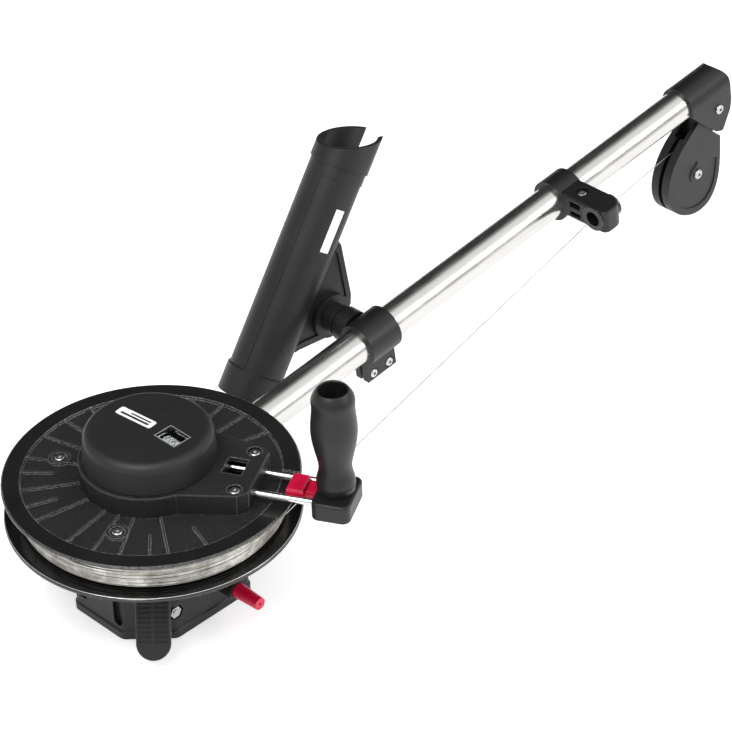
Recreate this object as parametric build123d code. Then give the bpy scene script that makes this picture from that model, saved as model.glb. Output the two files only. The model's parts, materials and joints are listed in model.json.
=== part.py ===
from build123d import *
from math import acos, atan2, cos, degrees, hypot, radians, sin
import os

# A boat-mounted trolling reel: a level spool turned by a crank on top, a boom that carries the line outboard,
# and a rod holder. Millimetres. The origin is on the spool axis, on the deck face of the mounting plate.
# +Z is up along the spool axis, +X points outboard along the boom, and +Y is to the left of the boom.

# ---------------------------------------------------------------- driving dimensions
FLANGE_R = 125.0            # crank disc and lower flange
DISC_TOP = 130.0            # height of the crank disc's rim
DISC_T = 3.9
FIELD_R = 108.6             # ribbed field inside the smooth rim
FLANGE_Z = 95.0             # height of the lower flange's rim
DRUM_R = 102.0
WIRE_PACK_R = 112.0
SHAFT_R = 8.0
RUN = 0.05                  # radial clearance of every running fit
GAP = 0.3                   # clearance between parts that move past each other

SKIRT_X = (-62.0, 57.0)     # the frame's lower box
SKIRT_Y = (-53.0, 42.0)
SKIRT_TOP = 56.0
CORNER_CUT = 32.0           # diagonal corner where the brake lever comes out
WALL = 4.0
BOSS_R = 34.0
BOSS_TOP = 84.0

PLATE_T = 8.0               # deck mounting plate
BOLT_X, BOLT_Y, BOLT_R = 36.0, 20.0, 3.3

ARM_AZ = -61.7              # the crank arm's direction at rest
ARM_TOP = 148.0
RING_R = 60.0
ARM_END = 95.0
ARM_HALF = 35.0
HUB_SLEEVE_R = 10.5
ROD_Z, ROD_Y, ROD_R = 137.5, 14.0, 3.175
GRIP_X = 161.0              # crank radius

DOME_R, DOME_BASE, DOME_TOP = 56.0, 148.5, 176.0

BOOM_Y, BOOM_Z, BOOM_EL = 39.8, 58.0, 7.23
BOOM_R, BOOM_T = 15.875, 1.65
BOOM_START, BOOM_END = 112.0, 733.0

GUIDE_S = 557.5             # distances along the boom
HOLDER_S = 301.5
PIVOT_S, PIVOT_DROP = 768.0, 18.5

HOLDER_TILT = 56.2          # rod holder's lean, from outboard towards up
HOLDER_OUT, HOLDER_IN = 27.0, 23.5
WEB_Y = 93.0
TUBE_Y = 112.0
TUBE_OFF = 44.4             # from the hub axis to the tube axis
TUBE_LOW, TUBE_HIGH = -94.5, 159.2

SHEAVE_X, SHEAVE_Z = 745.0, 67.5
SHEAVE_R, GROOVE_R = 36.0, 29.5
SHEAVE_HALF = 5.4
SLOT_HALF = 2.2
CHEEK_OUT = 11.0
WIRE_R = 0.45
WIRE_Z = 110.8
EYE_SIDE, EYE_DOWN = 54.0, -4.5   # accessory eye of the line guide, from the boom axis
WIRE_EYE = (556.0, 6.0, 109.3)

# ---------------------------------------------------------------- reference planes
E = radians(BOOM_EL)
BOOM = Plane(origin=(0, BOOM_Y, BOOM_Z), x_dir=(0, -1, 0), z_dir=(cos(E), 0, sin(E)))
ARM = Plane(origin=(0, 0, 0), x_dir=(cos(radians(ARM_AZ)), sin(radians(ARM_AZ)), 0), z_dir=(0, 0, 1))
DIAG = Plane(origin=(0, 0, 0), x_dir=(cos(radians(-135)), sin(radians(-135)), 0), z_dir=(0, 0, 1))
T = radians(HOLDER_TILT)


def boom_point(s, side=0.0, down=0.0):
    """Point at distance s along the boom axis, moved towards the line side and down."""
    return BOOM.from_local_coords((side, down, s))


# ---------------------------------------------------------------- small helpers
def rod(radius, z0, z1, x=0.0, y=0.0):
    return Pos(x, y, (z0 + z1) / 2) * Cylinder(radius, z1 - z0)


def ring(r_out, r_in, z0, z1, x=0.0, y=0.0):
    body = rod(r_out, z0, z1, x, y)
    hole = rod(r_in, z0 - 1, z1 + 1, x, y)
    return body - hole


def block(x0, x1, y0, y1, z0, z1):
    return Pos((x0 + x1) / 2, (y0 + y1) / 2, (z0 + z1) / 2) * Box(x1 - x0, y1 - y0, z1 - z0)


def along_y(radius, y0, y1, x, z):
    """Cylinder along Y."""
    return Pos(x, (y0 + y1) / 2, z) * (Rot(90, 0, 0) * Cylinder(radius, y1 - y0))


def along_x(radius, x0, x1, y, z):
    """Cylinder along X."""
    return Pos((x0 + x1) / 2, y, z) * (Rot(0, 90, 0) * Cylinder(radius, x1 - x0))


def turned(points):
    """Solid of revolution about Z from an outline of (radius, height) points."""
    wire = Polyline(*[(r, 0, z) for r, z in points], close=True)
    return revolve(make_face(wire), Axis.Z)


def prism(points, z0, z1):
    """Vertical prism from an outline of (x, y) points."""
    face = make_face(Polyline(*[(x, y, z0) for x, y in points], close=True))
    return extrude(face, z1 - z0, dir=(0, 0, 1))


def vertical_edges(shape):
    return shape.edges().filter_by(Axis.Z)


def pan_screw(head_r, head_t, shank_r, length, recess=1.6):
    """Pan head screw along Z, with its head's underside at z = 0 and a square drive recess."""
    head = Cylinder(head_r, head_t, align=(Align.CENTER, Align.CENTER, Align.MIN))
    head = fillet(head.edges().sort_by(Axis.Z)[-1], head_t * 0.6)
    drive = Pos(0, 0, head_t - recess / 2) * Box(head_r * 0.62, head_r * 0.62, recess)
    shank = Cylinder(shank_r, length, align=(Align.CENTER, Align.CENTER, Align.MAX))
    return head - drive + shank


# ---------------------------------------------------------------- frame
def skirt_outline(inset=0.0):
    x0, x1 = SKIRT_X[0] + inset, SKIRT_X[1] - inset
    y0, y1 = SKIRT_Y[0] + inset, SKIRT_Y[1] - inset
    cut = CORNER_CUT - inset * 0.6
    return [(x0, y1), (x0, y0 + cut), (x0 + cut, y0), (x1, y0), (x1, y1)]


def boom_cradle():
    """Trough and collar that hold the boom's inner end."""
    trough = Pos(0, 4.0, 98.5) * Box(40, 36, 83)
    collar = Pos(0, 0, 140) * Cylinder(21.0, 22)
    foot = Pos(0, 11, 140) * Box(34, 22, 22)
    bore = Pos(0, 0, 200) * Cylinder(BOOM_R, 2 * (200 - BOOM_START))
    return BOOM.location * (trough + collar + foot - bore)


def main_frame():
    """Hollow casting: skirt over the deck plate, shaft boss, boom cradle and the ears of the brake lever."""
    outer = prism(skirt_outline(), 0, SKIRT_TOP)
    outer = fillet(vertical_edges(outer), 7)
    outer = fillet(outer.faces().sort_by(Axis.Z)[-1].edges(), 3)
    plinth = fillet(vertical_edges(prism(skirt_outline(-1.2), 0, 8)), 8)
    plinth = chamfer(plinth.faces().sort_by(Axis.Z)[-1].edges(), 1.1)
    pocket = fillet(vertical_edges(prism(skirt_outline(WALL + 2), -1, 44)), 5)
    body = outer + plinth - pocket
    rail_y = [(24.0, SKIRT_Y[1] - WALL), (SKIRT_Y[0] + WALL, -32.0)]
    for y0, y1 in rail_y:
        body += block(-50, 50, y0, y1, 0.6, 16)
    body -= block(-48.0, 48.0, -38.0, 28.0, -1, PLATE_T)
    body -= block(13.6, 38.4, -38.0, -27, 0, 37)
    body += rod(BOSS_R, 44, BOSS_TOP)
    body += block(20, 62, 22, 52, 38, 76)
    body += boom_cradle()
    body += DIAG.location * (block(24, 45, -20.5, 20.5, 44, 76) - rod(31, 40, 80))
    for side in (-1, 1):
        ear = block(40, 66, side * 18.25 - 2.25, side * 18.25 + 2.25, 44, 80)
        body += DIAG.location * ear
    body -= DIAG.location * block(45, 90, -16, 16, 40, 90)
    body -= DIAG.location * along_y(3.0, -21, 21, 60, 72)
    body -= rod(SHAFT_R, 30, 90)
    body -= block(-65, -58, -21, -11, 17, 42) + along_x(5.0, -65, -58, -16, 17)
    body -= block(-65, -58.5, 24, 34, 17, 42)
    body += along_y(9.5, -50, -41, NUT_AT[0], NUT_AT[2])
    body -= nut_pocket()
    body -= along_y(2.9, -60, -36, NUT_AT[0], NUT_AT[2])
    body += along_y(9.4, -70.0, -38.2, 26, 27)
    body -= along_y(4.0 + RUN, -72, -30, 26, 27)
    for s in (134.0, 146.0):
        hole = Pos(0, 20, s) * (Rot(90, 0, 0) * Cylinder(2.5, 24))
        body -= BOOM.location * hole
    return body


def mounting_plate():
    plate = block(-47.6, 47.6, -37.6, 27.6, 0, PLATE_T - 0.4)
    plate += block(14, 38, -37.6, -28, 0, 36)
    plate = fillet(plate.edges().filter_by(Axis.Z), 2)
    plate -= along_y(4.0 + RUN, -40, -26, 26, 27)
    for x in (-BOLT_X, BOLT_X):
        for y in (-BOLT_Y, BOLT_Y):
            plate -= rod(BOLT_R, -1, PLATE_T + 1, x, y)
    return plate


def spool_shaft():
    shaft = rod(SHAFT_R, 36, 166)
    return chamfer(shaft.edges().sort_by(Axis.Z)[-1], 1.0)


def hex_nut(across, height, bore):
    body = extrude(RegularPolygon(across / 2, 6, major_radius=False), height)
    return body - Pos(0, 0, height / 2) * Cylinder(bore, height + 2)


def shaft_nut():
    return Pos(0, 0, 36.5) * hex_nut(24, 7.5, SHAFT_R)


NUT_AT = (-28.5, -48.0, 26.0)


def cross_bolt():
    nut = hex_nut(10.0, 4.4, 2.9) + rod(2.9, -8, 5.2)
    return Pos(*NUT_AT) * (Rot(90, 0, 0) * nut)


def nut_pocket():
    return Pos(*NUT_AT) * (Rot(90, 0, 0) * extrude(RegularPolygon(7.5, 6), 10))


# ---------------------------------------------------------------- brake lever
PIVOT = (60.0, 72.0)        # lever pin, in the diagonal's own (radius, height)
LEVER_END = (103.0, 13.0)
LEVER_T, LEVER_W = 7.0, 29.0


def lever_plane():
    dx, dz = LEVER_END[0] - PIVOT[0], LEVER_END[1] - PIVOT[1]
    reach = hypot(dx, dz)
    local = Plane(origin=(PIVOT[0], 0, PIVOT[1]), x_dir=(dx / reach, 0, dz / reach), z_dir=(-dz / reach, 0, dx / reach))
    return DIAG.location * local.location, reach


def brake_lever():
    place, reach = lever_plane()
    half = LEVER_W / 2
    tongue = block(4, reach - half, -half, half, -LEVER_T / 2, LEVER_T / 2)
    tongue += Pos(reach - half, 0, 0) * Cylinder(half, LEVER_T)
    tongue = fillet(tongue.faces().sort_by(Axis.Z)[-1].edges().filter_by(lambda e: e.center().X > 6), 2.2)
    for i in range(11):
        x = 15.0 + 4.1 * i
        for side in (-1, 1):
            y0 = side * 1.6
            y1 = side * (half - 2.4)
            tongue -= block(x, x + 2.1, min(y0, y1), max(y0, y1), LEVER_T / 2 - 1.3, LEVER_T)
    lever = place * tongue
    hub = DIAG.location * along_y(7.0, -LEVER_W / 2, LEVER_W / 2, *PIVOT)
    upper = DIAG.location * prism_xz([(57, 72), (64, 72), (56.0, 91), (51.0, 91)], -9, 9)
    lever = lever + hub + upper
    return lever - DIAG.location * along_y(3.0 + RUN, -30, 30, *PIVOT)


def prism_xz(points, y0, y1):
    """Prism along Y from an outline of (x, z) points."""
    face = make_face(Polyline(*[(x, y0, z) for x, z in points], close=True))
    return extrude(face, y1 - y0, dir=(0, 1, 0))


def brake_pad():
    pad = block(40, 53, -8, 8, 84.8, 90.2) - rod(46.3, 80, 95)
    keep = prism_xz([(57, 72), (64, 72), (56.0, 91), (51.0, 91)], -9, 9)
    return DIAG.location * (pad - keep)


def lever_pin():
    return DIAG.location * along_y(3.0, -21.5, 21.5, *PIVOT)


# ---------------------------------------------------------------- lock pin
def lock_pin():
    grip = Rot(90, 0, 0) * Cone(6.9, 5.6, 26.4)
    grip = Pos(26, -83.5, 27) * grip
    grip -= along_y(1.2, -100, -94, 26, 27)
    shank = along_y(4.0, -71, -29, 26, 27)
    return grip + shank


# ---------------------------------------------------------------- spool
def spool_drum():
    """Hub, wall and top of the drum, open below to the flange."""
    body = rod(DRUM_R, 95.7, 124.6) + rod(20, 85, 96)
    body -= ring(DRUM_R - 5, 22, 90, 119.6)
    return body - rod(12, 80, 130)


def lower_flange():
    web = ring(121.5, 36, 93.2, 95.7)
    bead = turned([(121, 93.2), (124.2, 93.0), (125.4, 94.2), (125.4, 96.4), (124.2, 97.6), (122.4, 97.6), (121, 96.0)])
    return web + bead


def wire_pack():
    return turned([(DRUM_R, 96.0), (109, 96.0), (WIRE_PACK_R, 99), (WIRE_PACK_R, 121), (110, 124.4), (DRUM_R, 124.4)])


def spool_bushes():
    low = ring(12, SHAFT_R + RUN, 85, 97)
    top = ring(12, SHAFT_R + RUN, 112, 124)
    return [low, top]


def brake_ring():
    return ring(46, 40, 85.0, 93.2)


def clutch_lining():
    return ring(80, 55, 124.6, 125.7)


def thrust_washer():
    return ring(15, SHAFT_R, BOSS_TOP, BOSS_TOP + 0.7)


# ---------------------------------------------------------------- crank
DISC_SCREW_R = 81.5
DISC_SCREW_AZ = (ARM_AZ + 90, ARM_AZ + 180, ARM_AZ + 270)
LONG_RIBS = (63, 76, 104, 124, 138, 152, 166, 183, 207, 230, 251, 264, 276, 297)
SHORT_RIBS = (46, 90, 194, 219, 289, 314)


def crank_disc():
    low = DISC_TOP - DISC_T
    disc = turned([(16.2, low), (FLANGE_R - 2.5, low), (FLANGE_R, low + 1.4), (FLANGE_R, DISC_TOP - 1.0),
                   (FLANGE_R - 1.0, DISC_TOP), (FIELD_R + 0.8, DISC_TOP), (FIELD_R, DISC_TOP - 2.0), (16.2, DISC_TOP - 2.0)])
    channel = ARM.location * block(ARM_END - 2, 130, -31, 31, DISC_TOP - 1.4, DISC_TOP + 5)
    disc -= channel
    for azimuths, start in ((LONG_RIBS, RING_R + GAP), (SHORT_RIBS, 82)):
        for az in azimuths:
            rib = block(start, FIELD_R + 0.4, -1.0, 1.0, DISC_TOP - 2.2, DISC_TOP - 0.2)
            disc += ARM.location * (Rot(0, 0, az) * rib)
    for az in DISC_SCREW_AZ:
        seat = Rot(0, 0, az) * rod(9.5, DISC_TOP - 2.2, DISC_TOP, DISC_SCREW_R, 0)
        cup = Rot(0, 0, az) * rod(6.5, DISC_TOP - 2.0, DISC_TOP + 2, DISC_SCREW_R, 0)
        hole = Rot(0, 0, az) * rod(2.0, 120, 140, DISC_SCREW_R, 0)
        disc = disc + seat - cup - hole
    return disc


def disc_screws():
    screws = []
    for az in DISC_SCREW_AZ:
        place = Rot(0, 0, az) * Pos(DISC_SCREW_R, 0, DISC_TOP - 2.0)
        screws.append(place * pan_screw(4.6, 2.8, 2.0, 1.85))
    return screws


ARM_SCREW_X, ARM_SCREW_Y = 82.5, 26.5


def arm_outline(grow=0.0):
    x1, y1 = ARM_END + grow, ARM_HALF + grow
    return [(20, -50 - grow), (x1 - 8, -y1), (x1, -y1 + 7), (x1, y1 - 7), (x1 - 8, y1), (20, 50 + grow)]


def arm_housing():
    base = DISC_TOP - 2.0
    body = rod(RING_R, base, ARM_TOP) + prism(arm_outline(), base, ARM_TOP)
    body = fillet(body.faces().sort_by(Axis.Z)[-1].edges(), 1.5)
    hollow = rod(RING_R - 5, base - 1, ARM_TOP - 4) + prism(arm_outline(-5), base - 1, ARM_TOP - 4)
    core = rod(18, base, ARM_TOP - 3.9)
    body = body - hollow + core
    body += block(58, 64, -24, 24, base, ARM_TOP - 3.9) + block(84, 92, -24, 24, base, ARM_TOP - 3.9)
    body -= rod(HUB_SLEEVE_R, base - 1, ARM_TOP + 1)
    body -= block(64.5, 82, -7, 14, ARM_TOP - 6, ARM_TOP + 1)
    for y in (-ARM_SCREW_Y, ARM_SCREW_Y):
        body += rod(7, base, ARM_TOP - 3.9, ARM_SCREW_X, y)
        body -= rod(6.2, ARM_TOP - 3.2, ARM_TOP + 1, ARM_SCREW_X, y)
        body -= rod(2.0, base - 1, ARM_TOP, ARM_SCREW_X, y)
    for y in (-ROD_Y, ROD_Y):
        body -= along_x(ROD_R + RUN, 20, 110, y, ROD_Z)
    return ARM.location * body


def arm_screws():
    screw = pan_screw(4.8, 2.8, 2.0, 14)
    return [ARM.location * (Pos(ARM_SCREW_X, y, ARM_TOP - 3.2) * screw) for y in (-ARM_SCREW_Y, ARM_SCREW_Y)]


def crank_sleeve():
    """Flanged hub that carries the disc and the arm on the shaft."""
    flange = ring(16, SHAFT_R + RUN, DISC_TOP - DISC_T, DISC_TOP - 2.0)
    return flange + ring(HUB_SLEEVE_R, SHAFT_R + RUN, DISC_TOP - DISC_T, ARM_TOP + 0.6)


def gear(teeth, module, thickness, bore):
    """Spur gear with slim straight-sided teeth, one tooth centred on +X."""
    pitch = teeth * module / 2
    body = Cylinder(pitch - 1.2 * module, thickness)
    root, tip = 0.95 * module, 0.42 * module
    tooth_face = make_face(Polyline((pitch - 1.4 * module, -root), (pitch + 0.85 * module, -tip),
                                    (pitch + 0.85 * module, tip), (pitch - 1.4 * module, root), close=True))
    tooth = Pos(0, 0, -thickness / 2) * extrude(tooth_face, thickness)
    for i in range(teeth):
        body += Rot(0, 0, 360 * i / teeth) * tooth
    return body - Cylinder(bore, thickness + 2)


GEAR_TEETH, PINION_TEETH, MODULE = 30, 15, 1.0
PINION_AT = (GEAR_TEETH + PINION_TEETH) * MODULE / 2 + 0.15


def drive_gear():
    return Pos(0, 0, 150.4) * gear(GEAR_TEETH, MODULE, 3.6, SHAFT_R + RUN)


def counter_pinion():
    half_tooth = 180 / PINION_TEETH
    return Pos(-PINION_AT, 0, 150.6) * (Rot(0, 0, half_tooth) * gear(PINION_TEETH, MODULE, 3.0, 2.0 + RUN))


# ---------------------------------------------------------------- handle
def handle_rods():
    return [ARM.location * along_x(ROD_R, ROD_INNER, 160, y, ROD_Z) for y in (-ROD_Y, ROD_Y)]


BRACKET_X = (145.5, 178.5)
BRACKET_Y = (-25.0, 21.0)
BRACKET_Z = (127.5, 144.5)
ROD_INNER = 23.0            # leaves the rods in both guide walls when the crank is drawn out


def handle_bracket():
    body = block(*BRACKET_X, *BRACKET_Y, *BRACKET_Z)
    body = fillet(vertical_edges(body), 7)
    body = fillet(body.faces().sort_by(Axis.Z)[-1].edges(), 2.5)
    body = fillet(body.faces().sort_by(Axis.Z)[0].edges(), 1.5)
    for y in (-ROD_Y, ROD_Y):
        body -= along_x(ROD_R, 140, 160, y, ROD_Z)
    body -= block(140, 152, -8.4, 8.4, 132.6, 143.2)
    body -= rod(4.0, 120, 150, GRIP_X, 0)
    return ARM.location * body


def handle_latch():
    front = fillet(block(121, 136, -10.5, 10.5, 133.0, 145.0).edges().filter_by(Axis.Y), 2)
    tail = block(136, 151.5, -8, 8, 133, 142.6)
    slot = block(136, 137.6, -11, 11, 139.8, 150)
    latch = front + tail - slot
    for y in (-ROD_Y, ROD_Y):
        latch -= along_x(ROD_R + GAP, 100, 160, y, ROD_Z)
    return ARM.location * latch


def grip_sleeve():
    """Open-topped handle grip: flared foot, waist, palm swell and rolled mouth."""
    profile = Spline((16.4, 0, 151), (13.9, 0, 166), (16.2, 0, 183), (19.2, 0, 208), (17.8, 0, 229), (14.2, 0, 242.5),
                     tangents=((0, 0, 1), (-0.75, 0, 1)))
    outline = [profile,
               Line((14.2, 0, 242.5), (12.8, 0, 244)),
               Line((12.8, 0, 244), (11.8, 0, 243)),
               Line((11.8, 0, 243), (11.4, 0, 172)),
               Line((11.4, 0, 172), (4.05, 0, 172)),
               Line((4.05, 0, 172), (4.05, 0, 144.9)),
               Line((4.05, 0, 144.9), (15.6, 0, 144.9)),
               Line((15.6, 0, 144.9), (16.4, 0, 151))]
    body = revolve(make_face(outline), Axis.Z)
    body -= ring(18, 14.4, 151.2, 152.0)
    return ARM.location * (Pos(GRIP_X, 0, 0) * body)


def grip_bolt():
    head = Pos(0, 0, 172.3) * extrude(RegularPolygon(6.5, 6, major_radius=False), 5)
    shank = rod(4.0, 128.5, 172.3)
    return ARM.location * (Pos(GRIP_X, 0, 0) * (head + shank))


# ---------------------------------------------------------------- counter
WHEEL_X, WHEEL_Z, WHEEL_R = 6.0, 161.2, 8.6
WHEEL_Y = (-33.6, -26.8, -20.0)
WHEEL_W = 6.2
WINDOW = (-2.6, 14.6, -35.2, -12.4)


def counter_dome():
    body = turned([(0, DOME_BASE), (DOME_R, DOME_BASE), (DOME_R - 2.0, DOME_TOP), (0, DOME_TOP)])
    body = fillet(body.edges().sort_by(Axis.Z)[-1], 8)
    hollow = rod(DOME_R - 6, DOME_BASE - 1, DOME_TOP - 10)
    hollow += rod(DOME_R - 12, DOME_TOP - 10.1, DOME_TOP - 3.5)
    body -= hollow
    body += rod(11, 157, DOME_TOP - 3.4)
    body -= rod(SHAFT_R, 150, 166)
    x0, x1, y0, y1 = WINDOW
    body -= block(x0, x1, y0, y1, DOME_TOP - 8, DOME_TOP + 1)
    body -= block(x0 - 1, x1 + 1, y0 - 1, y1 + 0.6, 150, DOME_TOP - 4.4)
    return body


def window_lens():
    x0, x1, y0, y1 = WINDOW
    return block(x0 + 0.05, x1 - 0.05, y0 + 0.05, y1 - 0.05, DOME_TOP - 4.3, DOME_TOP - 2.6)


def counter_axle():
    return along_y(1.6, -37.5, -11.6, WHEEL_X, WHEEL_Z)


def digit_wheel(index):
    y0 = WHEEL_Y[index]
    wheel = along_y(WHEEL_R, y0, y0 + WHEEL_W, WHEEL_X, WHEEL_Z)
    return wheel - along_y(1.6 + RUN, -60, 0, WHEEL_X, WHEEL_Z)


def counter_chassis():
    plate = ring(46, SHAFT_R, 153.4, 154.8)
    plate -= block(WHEEL_X - 10, WHEEL_X + 10, -36.6, -12.4, 150, 158)
    for y0, y1 in ((-37.5, -36.6), (-12.4, -11.6)):
        plate += block(WHEEL_X - 4, WHEEL_X + 4, y0, y1, 153.4, WHEEL_Z + 3.5)
    plate += rod(2.0, 148.9, 154.0, -PINION_AT, 0) + rod(3.0, 148.5, 148.9, -PINION_AT, 0)
    return plate - along_y(1.6, -60, 0, WHEEL_X, WHEEL_Z)


# ---------------------------------------------------------------- boom and its fittings
def boom_tube():
    outer = Pos(0, 0, (BOOM_START + BOOM_END) / 2) * Cylinder(BOOM_R, BOOM_END - BOOM_START)
    inner = Pos(0, 0, (BOOM_START + BOOM_END) / 2) * Cylinder(BOOM_R - BOOM_T, BOOM_END - BOOM_START + 2)
    return BOOM.location * (outer - inner)


def boom_bolts():
    screws = []
    for s in (134.0, 146.0):
        place = Pos(0, 22.0, s) * Rot(-90, 0, 0)
        screws.append(BOOM.location * (place * pan_screw(4.6, 3.0, 2.5, 6.0)))
    return screws


def rod_holder_clamp():
    body = Pos(0, 0, HOLDER_S) * Cylinder(20.8, 36)
    ears = Pos(0, 25, HOLDER_S) * Box(15.6, 30, 36)
    barrel = Pos(-38.8, 1.0, HOLDER_S - 1.2) * (Rot(0, 90, 0) * Cylinder(13.5, 38.6))
    neck = Pos(-26, 1.0, HOLDER_S - 1.2) * (Rot(0, 90, 0) * Cylinder(16.5, 14))
    collar = Pos(-38, 1.0, HOLDER_S - 1.2) * (Rot(0, 90, 0) * Cylinder(15.4, 3))
    body = body + ears + barrel + neck + collar
    body -= Pos(0, 26, HOLDER_S) * Box(2.6, 44, 60)
    body -= Pos(0, 0, HOLDER_S) * Cylinder(BOOM_R, 60)
    for ds in (-10, 10):
        body -= Pos(0, 34, HOLDER_S + ds) * (Rot(0, 90, 0) * Cylinder(2.5, 40))
        body -= Pos(7.8, 34, HOLDER_S + ds) * (Rot(0, 90, 0) * Cylinder(5.2, 3.6))
    body -= Pos(-42, 1.0, HOLDER_S - 1.2) * (Rot(0, 90, 0) * Cylinder(4.0 + RUN, 44))
    return BOOM.location * body


def clamp_screws():
    screws = []
    for ds in (-10, 10):
        place = Pos(6.0, 34, HOLDER_S + ds) * Rot(0, 90, 0)
        screws.append(BOOM.location * (place * pan_screw(4.4, 2.6, 2.5, 13.5)))
    return screws


HUB_AT = boom_point(HOLDER_S - 1.2, 0, 1.0)


def holder_hub_plane():
    return Plane(origin=(HUB_AT.X, 0, HUB_AT.Z), x_dir=(cos(T), 0, sin(T)), z_dir=(0, 1, 0))


WEB = [(-44, -30), (-38, -22), (-17, 18), (-8, 23), (14, 24), (23, 19), (66, -22), (70, -30)]
SLOT_W, SLOT_FROM, SLOT_AZ = 25.0, 112.0, 102.0
MOUTH_SLOPE = 26.0          # the mouth is cut at a slant, highest at the slot
PANEL_R = 25.5              # sunk panel on the near side of the tube


def reel_slot():
    """Open-ended slot in the tube's mouth that takes the foot of a reel."""
    half = SLOT_W / 2
    path = [(TUBE_HIGH + 20, -half), (SLOT_FROM, -half), (SLOT_FROM - 6, -half + 6), (SLOT_FROM - 6, half - 6),
            (SLOT_FROM, half), (TUBE_HIGH + 20, half)]
    cutter = Pos(0, 0, 5) * prism(path, 0, 40)
    return fillet(cutter.edges().filter_by(Axis.Z).filter_by(lambda e: e.center().X < SLOT_FROM + 1), 3)


def mouth_cutter():
    """Everything above the slanted plane of the mouth."""
    return Pos(TUBE_HIGH, 0, 0) * (Rot(0, MOUTH_SLOPE, 0) * block(0, 60, -60, 60, -90, 90))


def near_panel():
    """Shallow sunk panel along the near side of the tube."""
    shell = Rot(0, 90, 0) * (Pos(0, 0, 27) * (Cylinder(40, 190) - Cylinder(PANEL_R, 192)))
    return shell & block(-100, 140, -50, 50, -50, -6)


def rod_holder():
    """Tube, web and hub of the rod holder, in the hub plane: local x runs up the tube, local z is +Y."""
    across = Rot(0, 90, 0)
    top = TUBE_HIGH + 14
    mid, length = (TUBE_LOW + top) / 2, top - TUBE_LOW
    body = Pos(mid, 0, 0) * (across * Cylinder(HOLDER_OUT - 0.8, length)) - near_panel()
    body += Pos(TUBE_LOW + 13, 0, 0) * (across * Cylinder(HOLDER_OUT + 0.8, 26))
    body += Pos(top - 20, 0, 0) * (across * Cylinder(HOLDER_OUT + 0.6, 40))
    body = Pos(0, -TUBE_OFF, TUBE_Y) * body
    web = fillet(vertical_edges(prism(WEB, WEB_Y, WEB_Y + 8)), 3)
    border = web - prism([(x * 0.84 + 1.5, y * 0.84 - 3.0) for x, y in WEB], WEB_Y - 1, WEB_Y + 1.4)
    body += border + rod(21.5, 88.5, WEB_Y + 10)
    body -= Pos(mid, -TUBE_OFF, TUBE_Y) * (across * Cylinder(HOLDER_IN, length + 10))
    body -= Pos(0, -TUBE_OFF, TUBE_Y) * (Rot(-SLOT_AZ, 0, 0) * (reel_slot() + mouth_cutter()))
    body -= rod(13.5 + RUN, 80, 98.5)
    body -= rod(4.0, 80, 120)
    return holder_hub_plane().location * body


def hub_bolt():
    head = extrude(Pos(0, 0, WEB_Y + 10) * RegularPolygon(6.5, 6, major_radius=False), 5)
    shank = rod(4.0, 64, WEB_Y + 10.1)
    return holder_hub_plane().location * (head + shank)


GUIDE_ARM = [(0, -15.8), (69, -15.8), (69, 7), (0, 7)]
GUIDE_W = 27.0
EYE_R = 11.0
GUIDE_SCREW_AT = (28.4, GUIDE_S + 0.6)


def line_guide():
    """Clamp on the boom with a level arm that ends in an eye for a second line."""
    body = Pos(0, 0, GUIDE_S) * Cylinder(20.6, GUIDE_W)
    arm = prism(GUIDE_ARM, GUIDE_S - GUIDE_W / 2, GUIDE_S + GUIDE_W / 2)
    nose = arm.edges().filter_by(Axis.Y).filter_by(lambda e: e.center().X > 60)
    arm = fillet(nose.filter_by(lambda e: e.center().Z > GUIDE_S), 14)
    arm = fillet(arm.edges().filter_by(Axis.Y).filter_by(lambda e: e.center().X > 60 and e.center().Z < GUIDE_S - 8), 6)
    arm = fillet(arm.faces().sort_by(Axis.Y)[0].edges().filter_by(lambda e: e.center().X > 24), 2)
    body += arm
    body -= Pos(0, 0, GUIDE_S) * Cylinder(BOOM_R, 50)
    body -= Pos(EYE_SIDE, EYE_DOWN, GUIDE_S) * Cylinder(EYE_R, 50)
    screw_x, screw_s = GUIDE_SCREW_AT
    body -= Pos(screw_x, -15.8, screw_s) * (Rot(90, 0, 0) * Cylinder(6.0, 8))
    body -= Pos(screw_x, -8, screw_s) * (Rot(90, 0, 0) * Cylinder(2.2, 12))
    body -= Pos(31, -8.4, GUIDE_S - 12.5) * Box(13, 6.4, 12) + Pos(31, 2.0, GUIDE_S - 12.5) * Box(13, 5.2, 12)
    body -= Pos(WIRE_EYE_AT[0], 7, WIRE_EYE_AT[2]) * (Rot(90, 0, 0) * Cylinder(0.8, 4.4))
    return BOOM.location * body


def guide_eye_ring():
    """Smooth insert of the accessory eye, with a lip on its inboard side."""
    body = Cylinder(EYE_R, GUIDE_W) + Pos(0, 0, -GUIDE_W / 2 - 0.6) * Cylinder(EYE_R + 1.6, 1.2)
    body -= Cylinder(EYE_R - 3.4, 40)
    return BOOM.location * (Pos(EYE_SIDE, EYE_DOWN, GUIDE_S) * body)


def guide_screw():
    screw_x, screw_s = GUIDE_SCREW_AT
    place = Pos(screw_x, -11.8, screw_s) * Rot(90, 0, 0)
    return BOOM.location * (place * pan_screw(4.6, 2.8, 2.2, 8))


WIRE_EYE_AT = (33.8, 19.0, 558.1)   # centre of the wire's eye in the boom's axes


def wire_eye():
    """Small screw eye under the guide's arm; the main line runs through it."""
    x, down, s = WIRE_EYE_AT
    stem = Pos(x, down - 8.6, s) * (Rot(90, 0, 0) * Cylinder(0.8, 11.2))
    loop = Pos(*WIRE_EYE_AT) * Torus(3.2, 0.8)
    return BOOM.location * (stem + loop)


# ---------------------------------------------------------------- boom end
HOOD_SIDE = [(729, -20), (786.5, -20), (787.5, 18), (785.5, 28), (773, 47.5), (763, 43), (730, 8)]


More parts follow.
